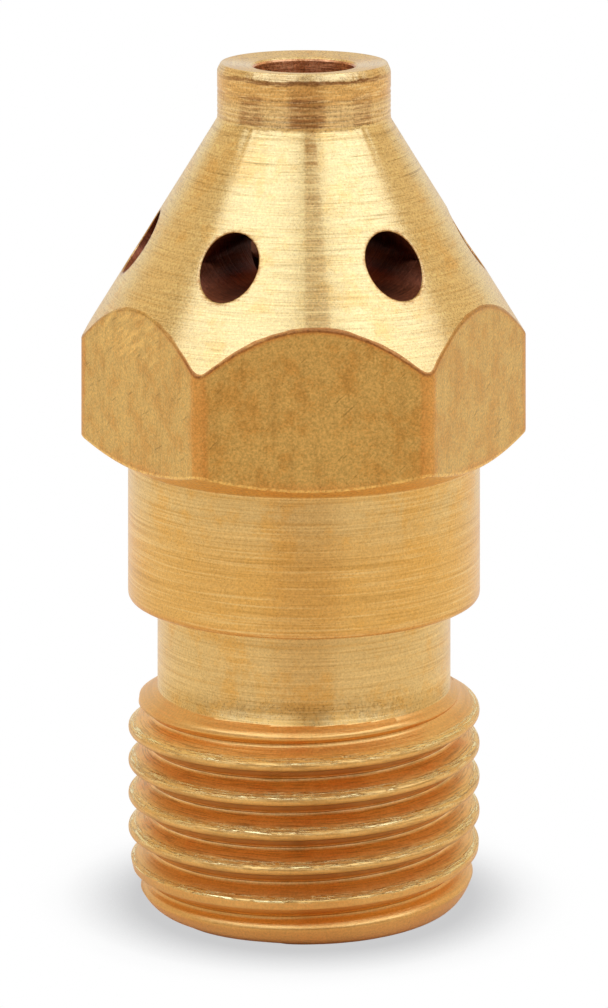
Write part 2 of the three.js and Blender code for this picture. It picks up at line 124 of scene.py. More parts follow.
WHITE = (1, 1, 1, 1)
TENT_POWER = 0.87
TENT_SIDE = (0.90, 0.74, 0.56, 1)
TENT_FRONT = (0.52, 0.42, 0.32, 1)
TENT_GAP = (0.38, 0.27, 0.18, 1)
TENT_TOP = (1.0, 0.96, 0.86, 1)
BACKDROP = (0.96, 0.95, 0.97, 1)

# How far a direction faces the camera, or how high it points, where parts of the tent start and end.
FRONT_FACING = (-0.5, 0.7)
GAP_FACING = (0.88, 0.985)
BACKDROP_FACING = (-0.55, -0.85)
BACKDROP_RISE = (0.45, 0.25)
TOP_RISE = (0.60, 0.75)

# Colours of the floor for rays other than the camera's: painted shade, darker towards the camera's side and
# darker still far out, for the brass to mirror.
FLOOR_BACK = (0.98, 0.91, 0.82, 1)
FLOOR_FRONT = (0.94, 0.82, 0.67, 1)
FLOOR_GAP = (0.86, 0.71, 0.54, 1)
FLOOR_FAR_GAP = (0.56, 0.36, 0.20, 1)
FLOOR_GAP_RADII = (110.0, 190.0)  # in millimetres, from the near to the far colour of the gap
SHADOW = (0.60, 0.60, 0.605, 1)
SHADOW_REACH = 5.0 * MM
SHADOW_OPENNESS = (0.45, 0.98)  # share of open sky where the shadow is full, and where it ends


def column_turns():
    """Angles from one patch edge to the next, closest together at the hexagon's corner."""
    t = np.linspace(-1, 1, COLUMNS_PER_SIDE + 1)
    return math.radians(30) * (0.4 * t + 0.6 * t**3)


def column_angles():
    """Angles of all the columns, six patches of them."""
    side = column_turns()[:-1]
    return np.concatenate([PORT_TURN + math.radians(60) * k + side for k in range(6)])


def hexagon_radius(angle, across_flats):
    """Distance from the axis to the rounded hexagon, whose corners are at 0, 60, 120 degrees and so on."""
    off_corner = (angle + math.radians(30)) % math.radians(60) - math.radians(30)
    off_flat = math.radians(30) - np.abs(off_corner)
    flat = across_flats / 2 / np.cos(off_flat)
    to_centre = (across_flats / 2 - HEX_CORNER_R) / math.cos(math.radians(30))
    across = to_centre * np.sin(off_corner)
    rounded = to_centre * np.cos(off_corner) + np.sqrt(np.maximum(HEX_CORNER_R**2 - across**2, 0))
    edge_angle = math.atan2(HEX_CORNER_R / 2, to_centre + HEX_CORNER_R * math.cos(math.radians(30)))
    return np.where(np.abs(off_corner) < edge_angle, rounded, flat)


def cone_radius(z):
    return HUB_R + (HUB_FOOT_Z - z) * CONE_TAN


def chamber_radius(z):
    """The same radius for every height, in the form that port_patch asks for."""
    return np.full(np.shape(z), CHAMBER_R)


def cone_foot(radius):
    """Height at which the cone has this radius."""
    return HUB_FOOT_Z - (radius - HUB_R) / CONE_TAN


# ---------------------------------------------------------------- rows of points


def as_row(radius, z, count):
    """A row of [radius, z] points, one for each column, from numbers or arrays."""
    return np.stack([np.broadcast_to(radius, count), np.broadcast_to(z, count)], axis=1)


def rounded_rows(corners, widths, spans, count, arc=4):
    """Rows down an outline of corners. Each inner corner is rounded over its width in arc steps, with a
    narrow row kept on both sides so that the rounding alone bends the light. spans gives the rows of
    each side."""
    steps = np.linspace(0, 1, arc + 1)
    points = [as_row(r, z, count) for r, z in corners]
    starts, ends, rows = [], [], []
    for i in range(1, len(points) - 1):
        width = np.broadcast_to(widths[i - 1], count)[:, None]
        back = points[i - 1] - points[i]
        on = points[i + 1] - points[i]
        back = back / np.linalg.norm(back, axis=1, keepdims=True)
        on = on / np.linalg.norm(on, axis=1, keepdims=True)
        starts.append((points[i] + back * width, points[i] + back * width * KEPT_ROW))
        ends.append((points[i] + on * width, points[i] + on * width * KEPT_ROW))
    last = len(points) - 2
    for i in range(last + 1):
        head = points[0] if i == 0 else ends[i - 1][1]
        foot = points[-1] if i == last else starts[i][1]
        for share in np.linspace(0, 1, spans[i] + 1):
            rows.append(head + (foot - head) * share)
        if i == last:
            break
        a, b = starts[i][0], ends[i][0]
        for t in steps:
            rows.append(a * (1 - t) ** 2 + points[i + 1] * 2 * t * (1 - t) + b * t**2)
    return rows


def turned_points(rows, angles):
    """Rows of [radius, z] points as an array of [row, column, xyz]."""
    table = np.array(rows)
    x = table[:, :, 0] * np.cos(angles)
    y = table[:, :, 0] * np.sin(angles)
    return np.stack([x, y, table[:, :, 1]], axis=2)


# ---------------------------------------------------------------- mesh collector


class Skin:
    """Collects quads with a finish for each, then welds them into one mesh."""

    def __init__(self):
        self.points = []
        self.faces = []
        self.finishes = []
        self.count = 0

    def add_grid(self, points, finish, shift=0):
        """Joins a [row, column, xyz] array of points. The grid runs on from its last column to its
        first, shift rows further down."""
        rows, columns = points.shape[:2]
        index = np.arange(rows * columns).reshape(rows, columns) + self.count
        self.points.append(points.reshape(-1, 3))
        self.count += rows * columns
        for c in range(columns):
            here = index[:, c]
            if c + 1 < columns:
                beside = index[:, c + 1]
            else:
                beside = index[shift:, 0]
            for r in range(min(len(here), len(beside)) - 1):
                self.faces.append((here[r], beside[r], beside[r + 1], here[r + 1]))
                self.finishes.append(finish)

    def make(self, name, materials):
        """The welded mesh as an object. Its materials are in the order of the finishes."""
        mesh = bpy.data.meshes.new(name)
        faces = [tuple(int(i) for i in face) for face in self.faces]
        mesh.from_pydata(np.concatenate(self.points) * MM, [], faces)
        mesh.polygons.foreach_set("material_index", self.finishes)
        welded = bmesh.new()
        welded.from_mesh(mesh)
        bmesh.ops.remove_doubles(welded, verts=welded.verts, dist=WELD_DISTANCE)
        bmesh.ops.dissolve_degenerate(welded, edges=welded.edges, dist=WELD_DISTANCE)
        bmesh.ops.recalc_face_normals(welded, faces=welded.faces)
        for face in welded.faces:
            face.smooth = True
        welded.to_mesh(mesh)
        welded.free()
        for material in materials:
            mesh.materials.append(material)
        piece = bpy.data.objects.new(name, mesh)
        bpy.context.scene.collection.objects.link(piece)
        return piece


# ---------------------------------------------------------------- air ports


def patch_rim(turns, low, high):
    """The edge of a patch as [turn, z] points: along the bottom, up one side, back along the top and
    down the other side. low and high are the heights of the columns."""
    side = np.linspace(0, 1, PATCH_SIDE_STEPS + 1)[1:-1]
    bottom = np.stack([turns, low], axis=1)
    right = np.stack([np.full(len(side), turns[-1]), low[-1] + (high[-1] - low[-1]) * side], axis=1)
    top = np.stack([turns, high], axis=1)[::-1]
    left = np.stack([np.full(len(side), turns[0]), high[0] + (low[0] - high[0]) * side], axis=1)
    return np.concatenate([bottom, right, top, left])


def port_edge(radius_at, port_r, spokes):
    """The curve where a port of this radius breaks through a turned surface, as [x, y, z] with x
    along the port."""
    y = port_r * np.cos(spokes)
    z = PORT_Z + port_r * np.sin(spokes)
    x = np.sqrt(radius_at(z) ** 2 - y**2)
    return np.stack([x, y, z], axis=1)


def port_patch(radius_at, rim, spokes, lip, inwards, steps):
    """Rings from a patch's rim in so many steps to a port's edge on a turned surface, then round the
    lip onto the port's wall. inwards is 1 where the wall leads towards the axis."""
    mouth = port_edge(radius_at, PORT_R + lip, spokes)
    hole = np.stack([np.arctan2(mouth[:, 1], mouth[:, 0]), mouth[:, 2]], axis=1)
    rings = []
    for share in np.linspace(1, 0, steps + 1) ** PATCH_CROWDING:
        turn, z = (hole + (rim - hole) * share).T
        radius = radius_at(z)
        rings.append(np.stack([radius * np.cos(turn), radius * np.sin(turn), z], axis=1))
    corner = port_edge(radius_at, PORT_R, spokes)
    wall = corner - [inwards * lip, 0, 0]
    for t in (0.33, 0.67, 1):
        rings.append(mouth * (1 - t) ** 2 + corner * 2 * t * (1 - t) + wall * t**2)
    return rings


def turn_about_axis(points, angle):
    """Points turned about the part's own axis."""
    c, s = math.cos(angle), math.sin(angle)
    x = points[..., 0] * c - points[..., 1] * s
    y = points[..., 0] * s + points[..., 1] * c
    return np.stack([x, y, points[..., 2]], axis=-1)


def add_ports(skin, low):
    """The ported part of the cone, the six ports, and the ported part of the chamber's wall. low is
    the height of the cone's last plain row for each column."""
    turns = column_turns()
    plain = np.ones(len(turns))
    for k in range(6):
        columns = np.arange(k * COLUMNS_PER_SIDE, (k + 1) * COLUMNS_PER_SIDE + 1) % len(low)
        outer_rim = patch_rim(turns, low[columns], plain * CONE_PATCH_TOP)
        inner_rim = patch_rim(turns, plain * CHAMBER_PATCH_BOTTOM, plain * CHAMBER_PATCH_TOP)
        across = outer_rim[:, 0] * cone_radius(PORT_Z)
        spokes = np.arctan2(outer_rim[:, 1] - PORT_Z, across)
        outer = port_patch(cone_radius, outer_rim, spokes, PORT_CORNER, 1, CONE_PATCH_STEPS)
        inner = port_patch(chamber_radius, inner_rim, spokes, PORT_INNER_CORNER, -1, CHAMBER_PATCH_STEPS)
        wall = [outer[-1] + (inner[-1] - outer[-1]) * t for t in np.linspace(0, 1, PORT_WALL_ROWS)]
        angle = PORT_TURN + math.radians(60) * k
        for rings, finish in ((outer, CONE), (wall, DRILLED_IN_SHADE), (inner[::-1], DRILLED_IN_SHADE)):
            grid = turn_about_axis(np.array(rings), angle)
            skin.add_grid(grid, finish)


# ---------------------------------------------------------------- stem thread


def thread_profile():
    """[offset along the axis, radius] points over one pitch of a 60 degree thread, from mid-crest on."""
    half_crest = THREAD_PITCH / 12
    flank = THREAD_DEPTH * math.tan(math.radians(30))
    root_r = THREAD_R - THREAD_DEPTH
    corners = [
        (0, THREAD_R),
        (half_crest, THREAD_R),
        (half_crest + flank, root_r),
        (THREAD_PITCH - half_crest - flank, root_r),
        (THREAD_PITCH - half_crest, THREAD_R),
        (THREAD_PITCH, THREAD_R),
    ]
    rows = rounded_rows(corners, (THREAD_ROUND,) * 4, (1, 2, 1, 2, 1), count=1, arc=3)
    points = np.array(rows)[:, 0]
    # Rows that lie on the one before are left out, and so is the last, which starts the next pitch.
    keep = np.concatenate([[True], np.diff(points[:, 0]) > 1e-6])
    return points[keep][:-1]


def stem_envelope(z):
    """Radius the thread is cut down to: the rounded lead-in below, the sloping end above."""
    below = np.clip((STEM_ROUND - z) / STEM_ROUND, 0, 1)
    lead_in = STEM_FACE_R + (THREAD_R - STEM_FACE_R) * np.sqrt(1 - below**2)
    run_out = NECK_R + (NECK_BOTTOM - z) / STEM_TOP_SLOPE
    return np.minimum(lead_in, run_out)


def add_stem(skin, angles):
    """The thread, as rows that climb one pitch each time round and are cut down to the envelope."""
    profile = thread_profile()
    turns = math.ceil(NECK_BOTTOM / THREAD_PITCH) + 3
    first = THREAD_CREST_Z - 2 * THREAD_PITCH  # below the end face, where the rows are cut off
    offsets = np.concatenate([profile[:, 0] + first + THREAD_PITCH * i for i in range(turns)])
    radii = np.tile(profile[:, 1], turns)
    rise = (angles - angles[0]) / (2 * math.pi) * THREAD_PITCH
    start = angles[0] / (2 * math.pi) * THREAD_PITCH
    z = np.clip(offsets[:, None] + rise[None, :] + start, 0, NECK_BOTTOM)
    radius = np.minimum(radii[:, None], stem_envelope(z))
    points = np.stack([radius * np.cos(angles), radius * np.sin(angles), z], axis=2)
    skin.add_grid(points, THREADED, shift=len(profile))


# ---------------------------------------------------------------- whole body


def wander(angles, size, frequency, seed):
    """A small random value for each column that closes on itself round the axis."""
    spots = [(math.cos(a) * frequency, math.sin(a) * frequency, seed) for a in angles]
    return size * np.array([noise.noise(Vector(s)) for s in spots])


def add_turned(skin, angles, corners, widths, spans, finish):
    """A turned surface down an outline of corners, rounded and divided as in rounded_rows."""
    rows = rounded_rows(corners, widths, spans, len(angles))
    skin.add_grid(turned_points(rows, angles), finish)


def throat_bevel(top, share):
    """The point this share of the way up the bevel at the throat's mouth."""
    return THROAT_R + THROAT_BEVEL * share, top - DISH_DEPTH - THROAT_BEVEL * (1 - share)


def add_throat(skin, angles, top):
    """From the ported part of the chamber's wall up to the middle of the bevel at the throat's mouth."""
    shoulder = (CHAMBER_R - CHAMBER_SHOULDER, CHAMBER_TOP + CHAMBER_SHOULDER)
    outline = [(CHAMBER_R, CHAMBER_PATCH_TOP), (CHAMBER_R, CHAMBER_TOP), shoulder]
    add_turned(skin, angles, outline, widths=(0.03,), spans=(1, 1), finish=DRILLED_IN_SHADE)
    bevel_foot = top - DISH_DEPTH - THROAT_BEVEL
    outline = [shoulder, (THROAT_R, THROAT_START), (THROAT_R, bevel_foot), throat_bevel(top, 0.5)]
    add_turned(skin, angles, outline, widths=(0.05, 0.02), spans=(1, 4, 1), finish=THROAT)


def tool_ring_rows(angles, top):
    """Shallow cusped rings that the turning tool left round the lower hub."""
    rows = []
    for i in range(TOOL_RINGS):
        uneven = 0.7 + 0.3 * math.sin(5.0 * i + 1.0)
        depth = TOOL_RING_DEPTH * uneven + wander(angles, size=0.012, frequency=5, seed=7.3 + i)
        for k in range(TOOL_RING_STEPS):
            share = k / TOOL_RING_STEPS
            radius = HUB_R - depth * math.sin(math.pi * share)
            rows.append(as_row(radius, top - (i + share) * TOOL_RING_PITCH, len(angles)))
    rows.append(as_row(HUB_R, top - TOOL_RINGS * TOOL_RING_PITCH, len(angles)))
    return rows


def add_hub(skin, angles, top):
    """From the throat's bevel over the end face and the rim, down the hub and onto the cone."""
    bevel_foot = top - RIM_DROP + wander(angles, size=0.10, frequency=11, seed=1.2)
    bevel_foot = bevel_foot + wander(angles, size=0.05, frequency=34, seed=5.1)
    rings_top = TOOL_RINGS_FOOT + TOOL_RINGS * TOOL_RING_PITCH
    outline = [
        throat_bevel(top, 0.5),
        throat_bevel(top, 1),
        (RIM_R, top),
        (HUB_R, bevel_foot),
        (HUB_R, rings_top),
    ]
    add_turned(skin, angles, outline, widths=(0.03, 0.05, 0.10), spans=(1, 4, 3, 4), finish=HUB)
    skin.add_grid(turned_points(tool_ring_rows(angles, rings_top), angles), HUB)
    foot = HUB_FOOT_Z + wander(angles, size=0.05, frequency=14, seed=2.2)
    outline = [(HUB_R, TOOL_RINGS_FOOT), (HUB_R, foot), (cone_radius(CONE_PATCH_TOP), CONE_PATCH_TOP)]
    add_turned(skin, angles, outline, widths=(0.06,), spans=(1, 6), finish=CONE)


def add_hexagon(skin, angles, hexagon, edge, burr):
    """The six flats, from just above the burr on the cone to just above the collar."""
    burr_top = edge + burr
    start = burr_top + BURR_APRON
    last_r = COLLAR_R + UNDERSIDE_RING
    outline = [
        (cone_radius(start), start),
        (cone_radius(burr_top), burr_top),
        (hexagon, edge - BURR_BELOW),
        (hexagon, COLLAR_TOP + (hexagon - COLLAR_R) * UNDERSIDE_SLOPE),
        (last_r, COLLAR_TOP + (last_r - COLLAR_R) * UNDERSIDE_SLOPE),
    ]
    add_turned(skin, angles, outline, widths=(0.02, 0.03, 0.08), spans=(1, 1, 6, 4), finish=DRAWN)
    outline = [
        outline[-1],
        (COLLAR_R, COLLAR_TOP),
        (COLLAR_R, COLLAR_BOTTOM),
        (NECK_R, COLLAR_BOTTOM),
        (NECK_R, NECK_BOTTOM),
    ]
    add_turned(skin, angles, outline, widths=(0.06, 0.24, 0.12), spans=(1, 5, 3, 3), finish=BARREL)


def add_bore(skin, angles):
    """The stepped hole, from the stem's end face up to the ported part of the chamber's wall."""
    outline = [(STEM_FACE_R, 0)]
    bottom = 0
    for radius, top in BORE_STEPS:
        outline += [(radius, bottom), (radius, top)]
        bottom = top
    outline += [(CHAMBER_R, bottom), (CHAMBER_R, CHAMBER_PATCH_BOTTOM)]
    corners = len(outline) - 2
    rows = rounded_rows(outline, (0.03,) * corners, (1,) * (corners + 1), len(angles), arc=2)
    skin.add_grid(turned_points(rows, angles), DRILLED_IN_SHADE)


def make_body(top, across_flats, materials):
    """The body as one piece. top is the height of the hub's rim."""
    angles = column_angles()
    hexagon = hexagon_radius(angles, across_flats)
    edge = cone_foot(hexagon) + wander(angles, size=0.05, frequency=9, seed=3.7)
    burr = BURR_ABOVE + wander(angles, size=0.04, frequency=22, seed=6.4)
    low = edge + CONE_PATCH_BOTTOM
    skin = Skin()
    add_throat(skin, angles, top)
    add_hub(skin, angles, top)
    add_ports(skin, low)
    skirt = edge + burr + BURR_APRON
    outline = [(cone_radius(low), low), (cone_radius(skirt), skirt)]
    add_turned(skin, angles, outline, widths=(), spans=(2,), finish=CONE)
    add_hexagon(skin, angles, hexagon, edge, burr)
    add_stem(skin, angles)
    add_bore(skin, angles)
    return skin.make("body_brass", materials)


# ---------------------------------------------------------------- nodes

# Places of the inputs and outputs that share a name, or have to be picked out, on Blender's nodes.
MIX_COLOR_A = 6
MIX_COLOR_B = 7
MIX_COLOR_OUT = 2
NUMBER_OUT = 1  # of vector maths
GENERATED_OUT = 0
OBJECT_OUT = 3
NORMAL_OUT = 1
OPENNESS_OUT = 1
CAMERA_RAY_OUT = 0

LINES_LEAN = 1.37  # lets the lathe lines run on evenly over upright, coned and flat faces
LINES_ROUND_AXIS = 0.25  # full turns from the direction round the axis to that of the sheen
LINES_ROUGHNESS = 0.65
GRAIN_SCALE = 11.0
PITS_SCALE = 4.2
PIT = (0.13, 0.045, 0.015, 1)
SECTOR_FULL = 0.8  # shares of a sector's half width, where it starts to fade and where it ends
SECTOR_END = 1.7


class Nodes:
    """A node tree built one node at a time. Inputs are given by name or place, as values or sockets."""

    def __init__(self, tree):
        self.tree = tree
        tree.nodes.clear()

    def add(self, kind, inputs=None, output=0, **settings):
        """A new node's output socket, or the node itself if it has no outputs."""
        node = self.tree.nodes.new(kind)
        for key, value in settings.items():
            setattr(node, key, value)
        for key, value in (inputs or {}).items():
            if isinstance(value, bpy.types.NodeSocket):
                self.tree.links.new(value, node.inputs[key])
            else:
                node.inputs[key].default_value = value
        return node.outputs[output] if len(node.outputs) else node

    def math(self, operation, *values):
        return self.add("ShaderNodeMath", dict(enumerate(values)), operation=operation)

    def vector(self, x, y, z):
        return self.add("ShaderNodeCombineXYZ", {0: x, 1: y, 2: z})

    def apart(self, vector):
        """The x, y and z of a vector."""
        node = self.tree.nodes.new("ShaderNodeSeparateXYZ")
        self.tree.links.new(vector, node.inputs[0])
        return tuple(node.outputs)

    def ramp(self, value, low, high, to_low=0.0, to_high=1.0):
        """A smooth change from to_low, where value is low, to to_high, where value is high. low may be
        the greater of the two."""
        inputs = {"Value": value, "From Min": low, "From Max": high, "To Min": to_low, "To Max": to_high}
        return self.add("ShaderNodeMapRange", inputs, interpolation_type="SMOOTHSTEP")

    def noise(self, vector, scale, detail=3.0, roughness=0.5):
        inputs = {"Vector": vector, "Scale": scale, "Detail": detail, "Roughness": roughness}
        return self.add("ShaderNodeTexNoise", inputs)

    def mix(self, share, a, b):
        """Colour a where share is 0, and b where it is 1."""
        inputs = {"Factor": share, MIX_COLOR_A: a, MIX_COLOR_B: b}
        return self.add("ShaderNodeMix", inputs, output=MIX_COLOR_OUT, data_type="RGBA")

    def bump(self, height, distance, normal=None):
        """A normal bent by a height from 0 to 1 that stands for this distance in millimetres."""
        inputs = {"Height": height, "Distance": distance * MM}
        if normal is not None:
            inputs["Normal"] = normal
        return self.add("ShaderNodeBump", inputs)

    def toward(self, x, y, azimuth=0.0):
        """1 for a level direction at this azimuth in degrees, down to -1 away from it. Azimuth 0 is on
        the camera's side, and grows to its right."""
        flat = self.vector(x, y, 0.0)
        way = self.add("ShaderNodeVectorMath", {0: flat}, operation="NORMALIZE")
        a = CAMERA_TURN + math.radians(azimuth)
        target = (math.sin(a), -math.cos(a), 0)
        inputs = {0: way, 1: target}
        return self.add("ShaderNodeVectorMath", inputs, output=NUMBER_OUT, operation="DOT_PRODUCT")


class Surface(Nodes):
    """A material's node tree, with the shaded point in millimetres."""

    def __init__(self, name):
        self.material = bpy.data.materials.new(name)
        self.material.use_nodes = True
        super().__init__(self.material.node_tree)
        metres = self.add("ShaderNodeTexCoord", output=OBJECT_OUT)
        self.spot = self.add("ShaderNodeVectorMath", {0: metres, "Scale": 1 / MM}, operation="SCALE")
        self.x, self.y, self.z = self.apart(self.spot)
        self.radius = self.distance(self.x, self.y)

    def distance(self, across, up):
        """Length of a line that goes this far across and up."""
        flat = self.vector(across, up, 0.0)
        return self.add("ShaderNodeVectorMath", {0: flat}, output=NUMBER_OUT, operation="LENGTH")

    def port_gap(self):
        """How far outside the bore of the nearest port a point is, in millimetres."""
        turn = self.math("SUBTRACT", self.math("ARCTAN2", self.y, self.x), PORT_TURN)
        ports = self.math("DIVIDE", turn, math.radians(60))
        aside = self.math("SUBTRACT", ports, self.math("ROUND", ports))
        sine = self.math("SINE", self.math("MULTIPLY", aside, math.radians(60)))
        up = self.math("SUBTRACT", self.z, PORT_Z)
        return self.math("SUBTRACT", self.distance(self.math("MULTIPLY", self.radius, sine), up), PORT_R)

    def lines(self, round_scale, up_scale, detail=4.0):
        """Noise drawn out round the axis, as a turning tool leaves it."""
        east = self.math("MULTIPLY", self.math("DIVIDE", self.x, self.radius), round_scale)
        north = self.math("MULTIPLY", self.math("DIVIDE", self.y, self.radius), round_scale)
        outline = self.math("SUBTRACT", self.z, self.math("MULTIPLY", self.radius, LINES_LEAN))
        up = self.math("MULTIPLY", outline, up_scale)
        return self.noise(self.vector(east, north, up), 1.0, detail, LINES_ROUGHNESS)

    def band(self, value, middle, half_width, soft):
        """1 where value is within half_width of middle, fading to 0 over soft on both sides."""
        off = self.math("ABSOLUTE", self.math("SUBTRACT", value, middle))
        return self.ramp(off, half_width + soft, half_width)

    def sector(self, azimuth, half_width):
        """1 well within half_width degrees of an azimuth, fading out beyond it."""
        inner = math.cos(math.radians(half_width * SECTOR_FULL))
        outer = math.cos(math.radians(half_width * SECTOR_END))
        return self.ramp(self.toward(self.x, self.y, azimuth), outer, inner)

    def both(self, *shares):
        """The product of two or more shares, which is high only where all of them are."""
        product = shares[0]
        for share in shares[1:]:
            product = self.math("MULTIPLY", product, share)
        return product

    def speckled(self, tone, depth, pit_share):
        """Fine light and dark grain over a tone, with sparse dark pits. Returns the tone and the grain."""
        grain = self.noise(self.spot, GRAIN_SCALE, 3.0, 0.7)
        shade = self.ramp(grain, 0.28, 0.72, 1.0 - depth, 1.0 + depth)
        shade = self.vector(shade, shade, shade)
        tone = self.add("ShaderNodeVectorMath", {0: tone, 1: shade}, operation="MULTIPLY")
        pits = self.noise(self.spot, PITS_SCALE, 4.0, 0.7)
        pits = self.ramp(pits, 0.72 - pit_share, 0.80 - pit_share)
        return self.mix(self.math("MULTIPLY", pits, 0.75), tone, PIT), grain

    def metal(self, color, roughness, normal, stretch=0.0):
        """Finishes a metal. stretch draws its highlights out across the lathe lines."""
        inputs = {"Base Color": color, "Metallic": 1.0, "Roughness": roughness, "Normal": normal}
        if stretch:
            inputs["Anisotropic"] = stretch
            inputs["Anisotropic Rotation"] = LINES_ROUND_AXIS
            inputs["Tangent"] = self.add("ShaderNodeTangent", direction_type="RADIAL", axis="Z")
        shader = self.add("ShaderNodeBsdfPrincipled", inputs)
        self.add("ShaderNodeOutputMaterial", {0: shader})
        return self.material


# ---------------------------------------------------------------- brass

# Painted shade and painted reflections of dark gaps on the hub.
SHADE_BROWN = (0.36, 0.17, 0.06, 1)
EDGE_ORANGE = (0.70, 0.32, 0.075, 1)
# Painted shadow under the hexagon's burr, and the brown stain round the ports.
BURR_SHADE_AND_STAIN = (0.42, 0.17, 0.05, 1)
# Painted reflection of the dark gap in front, down the cone.
GAP_REFLECTION_BROWN = (0.46, 0.24, 0.075, 1)
# Painted glints on the thread's crests.
PAINTED_GLINT = (1.0, 0.84, 0.40, 1)
THREAD_RED = (0.86, 0.38, 0.09, 1)
# Painted shade on the thread's crest tips.
TIP_SHADE_GOLD = (0.80, 0.48, 0.15, 1)

# Azimuth and half width in degrees of marks on the body, and the strength of each of the hub's painted
# reflections of dark gaps.
HUB_GAP_REFLECTIONS = ((-38.0, 7.0, 0.7), (2.0, 8.5, 1.0), (42.0, 6.0, 0.6))
CONE_GAP_REFLECTION = (4.0, 2.7)
CHATTER = (-62.0, 12.0)
STRONGEST_BURR_SHADE = (0.0, 26.0)

# Heights of marks on the body. Of a pair, the mark grows from the first height to the second.
RIM_BAND_Z = 33.25
RIM_LINE_Z = 33.70
# Where the hub's painted reflections and groove shade grow, from the bevel down.
HUB_SHADE_Z = (33.5, 32.9)
SCORED_Z = HUB_FOOT_Z - 0.3
GAP_REFLECTION_Z = (28.5, 31.3)
SCORES_Z = (26.0, 31.3)
LOW_CONE_Z = (24.6, 23.2)
CHATTER_Z = 23.6
TONED_COLLAR_Z = (17.2, 14.6)
HEXAGON_FOOT_Z = 18.4  # about the height where the flats end
FULL_THREAD_TOP = (8.0, 7.5)
FULL_THREAD_BOTTOM = (1.4, 3.0)

# Reach of marks. Of a pair, the mark grows from the first value to the second.
CORNER_RADII = (9.05, 9.25)  # from the axis, for the toned corners of the hexagon
# The painted shade in a tool ring's groove grows over these depths.
GROOVE_DEPTHS = (0.003, 0.012)  # into a tool ring
PORT_STAIN = (0.32, 0.14)  # out from a port's bore
HEXAGON_FRINGE = 0.12  # in from the cone, below the hexagon's arcs


def shaded(color, factor):
    """A colour made darker or brighter by a factor."""
    return tuple(c * factor for c in color[:3]) + (1,)


def turned_brass(
    name, bare, toned, toning, line_depth, line_tone, roughness=0.30, shortness=3.2, specks=0.26, marks=None
):
    """Brass off the lathe: tool lines and scratches round the axis, toned orange in patches. toning is
    the patches' threshold, where less is more. line_depth and line_tone set how deep and how dark the
    lines are, shortness how often they break off, and specks how strong the grain is. marks adds what
    is special to one place."""
    surface = Surface(name)
    patches = surface.ramp(surface.noise(surface.spot, 0.45, 6.0, 0.68), toning, toning + 0.16, 0.0, 0.8)
    tone = surface.mix(patches, bare, toned)
    waves = surface.lines(0.35, 4.5)
    dashes = surface.lines(shortness, 13.0, 3.0)
    if marks:
        tone = marks(surface, tone, toned, dashes)
    tone = surface.mix(surface.ramp(waves, 0.50, 0.70, 0.0, 0.4), tone, shaded(toned, 0.9))
    tone = surface.mix(surface.ramp(dashes, 0.50, 0.66, 0.0, 0.7), tone, shaded(bare, 1.18))
    tone = surface.mix(surface.ramp(dashes, 0.48, 0.34, 0.0, line_tone), tone, shaded(toned, 0.7))
    tone, grain = surface.speckled(tone, specks, -0.03)
    rough = surface.ramp(grain, 0.3, 0.7, roughness - 0.04, roughness + 0.06)
    normal = surface.bump(grain, 0.003)
    normal = surface.bump(dashes, line_depth * 0.6, normal)
    normal = surface.bump(waves, line_depth, normal)
    return surface.metal(tone, rough, normal, 0.8)


def hub_marks(surface, tone, toned, dashes):
    """An orange band under the rim's ragged bevel, a line of painted shade along the bevel on the camera's
    side, painted reflections of dark gaps as smears over the tool rings, and painted shade in the rings'
    grooves.
    """
    ragged = surface.math("ADD", surface.z, surface.math("MULTIPLY", surface.lines(4.0, 3.0), 0.3))
    tone = surface.mix(surface.band(ragged, RIM_BAND_Z, 0.3, 0.3), tone, toned)
    # Painted shade: a brown line along the bevel, on the camera's side only.
    rim_shade_line = surface.both(surface.band(ragged, RIM_LINE_Z, 0.05, 0.06), surface.sector(0, 50))
    tone = surface.mix(rim_shade_line, tone, SHADE_BROWN)
    # Painted reflections of the tent's dark gaps: brown smears over the tool rings at fixed azimuths from
    # the camera.
    smears = 0.0
    for azimuth, half_width, strength in HUB_GAP_REFLECTIONS:
        gap_reflection = surface.math("MULTIPLY", surface.sector(azimuth, half_width), strength)
        smears = surface.math("MAXIMUM", gap_reflection, smears)
    ringed = surface.ramp(ragged, *HUB_SHADE_Z)
    uneven = surface.ramp(surface.lines(0.3, 4.0, 3.0), 0.62, 0.40, 0.25, 0.75)
    tone = surface.mix(surface.both(smears, ringed, uneven), tone, SHADE_BROWN)
    # Painted shade in the tool rings' grooves, stronger under the painted reflections.
    groove_shade = surface.ramp(surface.math("SUBTRACT", HUB_R, surface.radius), *GROOVE_DEPTHS)
    groove_shade = surface.both(groove_shade, ringed, surface.ramp(smears, 0.0, 1.0, 0.25, 0.8))
    return surface.mix(groove_shade, tone, SHADE_BROWN)


